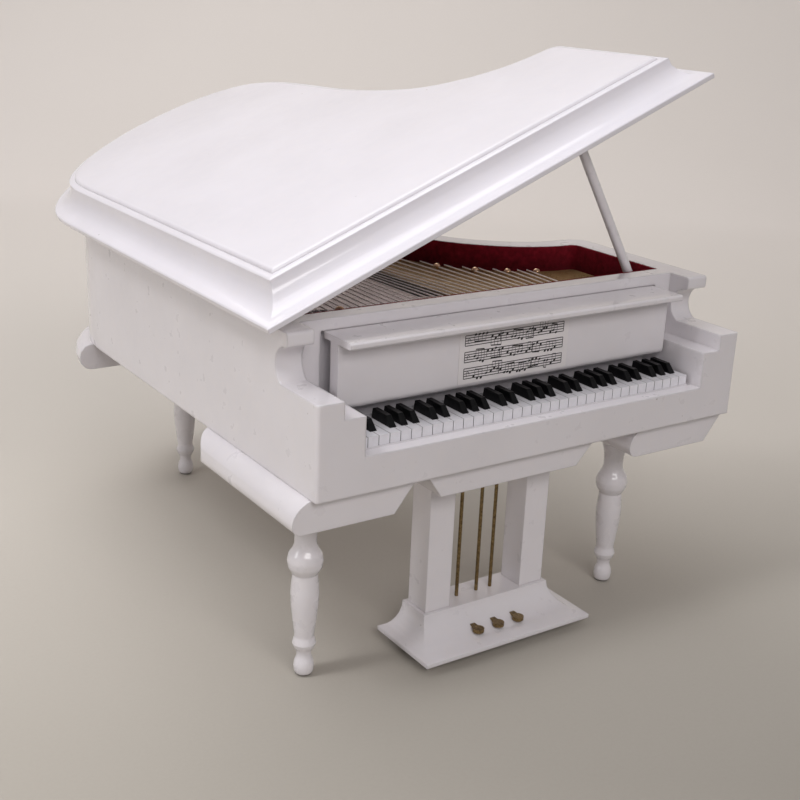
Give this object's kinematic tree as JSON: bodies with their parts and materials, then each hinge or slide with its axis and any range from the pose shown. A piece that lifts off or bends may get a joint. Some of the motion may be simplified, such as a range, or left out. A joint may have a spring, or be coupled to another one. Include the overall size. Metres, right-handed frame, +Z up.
{
  "type": "miniature grand piano",
  "caption": "White dolls house grand piano on turned legs, with a hinged moulded lid on a prop stick, a hinged fallboard, keyboard, velvet-lined string well and a pedal lyre.",
  "frame": {"origin": "on the floor under the middle of the overall footprint", "axes": "+X from the bass side to the treble side, +Y from the keyboard to the tail, +Z up"},
  "size_m": [0.1584, 0.2122, 0.169],
  "materials": {
    "white_lacquer": "glossy white lacquer over wood, brushed thick with softened edges and a few dust specks",
    "white_key": "gloss white",
    "black_key": "gloss black",
    "music_print": null,
    "soundboard_stain": "dark red stain",
    "raw_wood": "bare light wood",
    "gold_paint": "brass-brown metallic paint",
    "burgundy_velvet": "deep burgundy flock",
    "string_wire": "bright drawn wire",
    "gilt_tack": "bright gilt",
    "aged_brass": "dull brass",
    "steel_wire": "drawn steel"
  },
  "bodies": {
    "case": {"rim_wall": "white_lacquer", "bottom_board": "white_lacquer", "front_rail": "white_lacquer", "left_key_block": "white_lacquer", "right_key_block": "white_lacquer", "key_slip": "white_lacquer", "key_bed": "white_lacquer", "white_keys": "white_key", "black_keys": "black_key", "soundboard": "soundboard_stain", "soundboard_bearers": "raw_wood", "gold_plate": "gold_paint", "string_bridge": "gold_paint", "velvet_lining": "burgundy_velvet", "strings": "string_wire", "plate_tacks": "gilt_tack", "hinge_case_leaves": "aged_brass", "hinge_pins": "steel_wire", "hinge_case_screws": "aged_brass", "prop_pin": "steel_wire", "prop_bracket": "white_lacquer", "left_leg_block": "white_lacquer", "right_leg_block": "white_lacquer", "lyre_block": "white_lacquer", "tail_block": "white_lacquer", "front_left_leg": "white_lacquer", "front_right_leg": "white_lacquer", "rear_leg": "white_lacquer", "leg_dowels": "raw_wood", "lyre_left_post": "white_lacquer", "lyre_right_post": "white_lacquer", "lyre_rods": "aged_brass", "lyre_base": "white_lacquer", "pedals": "aged_brass"},
    "lid": {"lid_panel": "white_lacquer", "lid_moulding": "white_lacquer", "hinge_lid_leaves": "aged_brass", "hinge_lid_screws": "aged_brass"},
    "prop": {"prop_stick": "white_lacquer"},
    "fallboard": {"fallboard": "white_lacquer", "fallboard_pins": "steel_wire", "music_sheet": "music_print"}
  },
  "joints": [
    {"name": "lid_hinge", "type": "hinge", "parent": "case", "child": "lid", "pos_m": [-0.0736, -0.05813, 0.1036], "axis": [0, -1, 0], "range_deg": [-23.2, 0]},
    {"name": "prop_hinge", "type": "hinge", "parent": "case", "child": "prop", "pos_m": [0.0633, -0.07113, 0.098], "axis": [0, 1, 0], "range_deg": [-58.8, 0]},
    {"name": "fallboard_hinge", "type": "hinge", "parent": "case", "child": "fallboard", "pos_m": [-0.0613, -0.08553, 0.0802], "axis": [1, 0, 0], "range_deg": [0, 90]}
  ],
  "couplings": [
    {"joint": "prop_hinge", "follows": "lid_hinge", "ratio": 2.5233}
  ]
}
